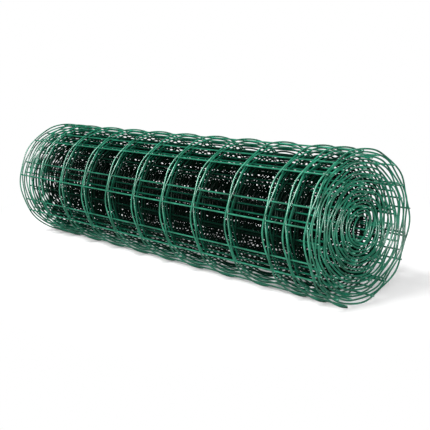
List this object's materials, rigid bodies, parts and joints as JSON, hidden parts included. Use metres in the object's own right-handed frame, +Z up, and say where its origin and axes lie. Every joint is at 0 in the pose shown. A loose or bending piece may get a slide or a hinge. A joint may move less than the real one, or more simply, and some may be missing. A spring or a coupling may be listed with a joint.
{
  "type": "roll of wire fencing",
  "caption": "Roll of green plastic-coated welded wire mesh fencing lying on its side, wound loosely in a spiral about an open round core, with its free end underneath.",
  "frame": {"origin": "centre of the bounding box's underside, on the floor that the roll lies on", "axes": "+X along the roll towards the end the picture shows, +Z up, -Y the side towards the camera"},
  "size_m": [1.011, 0.2826, 0.2828],
  "materials": {
    "coated_wire": "smooth green plastic coating over steel wire, semi-gloss"
  },
  "bodies": {
    "root": {"mesh_roll": "coated_wire"}
  },
  "joints": []
}
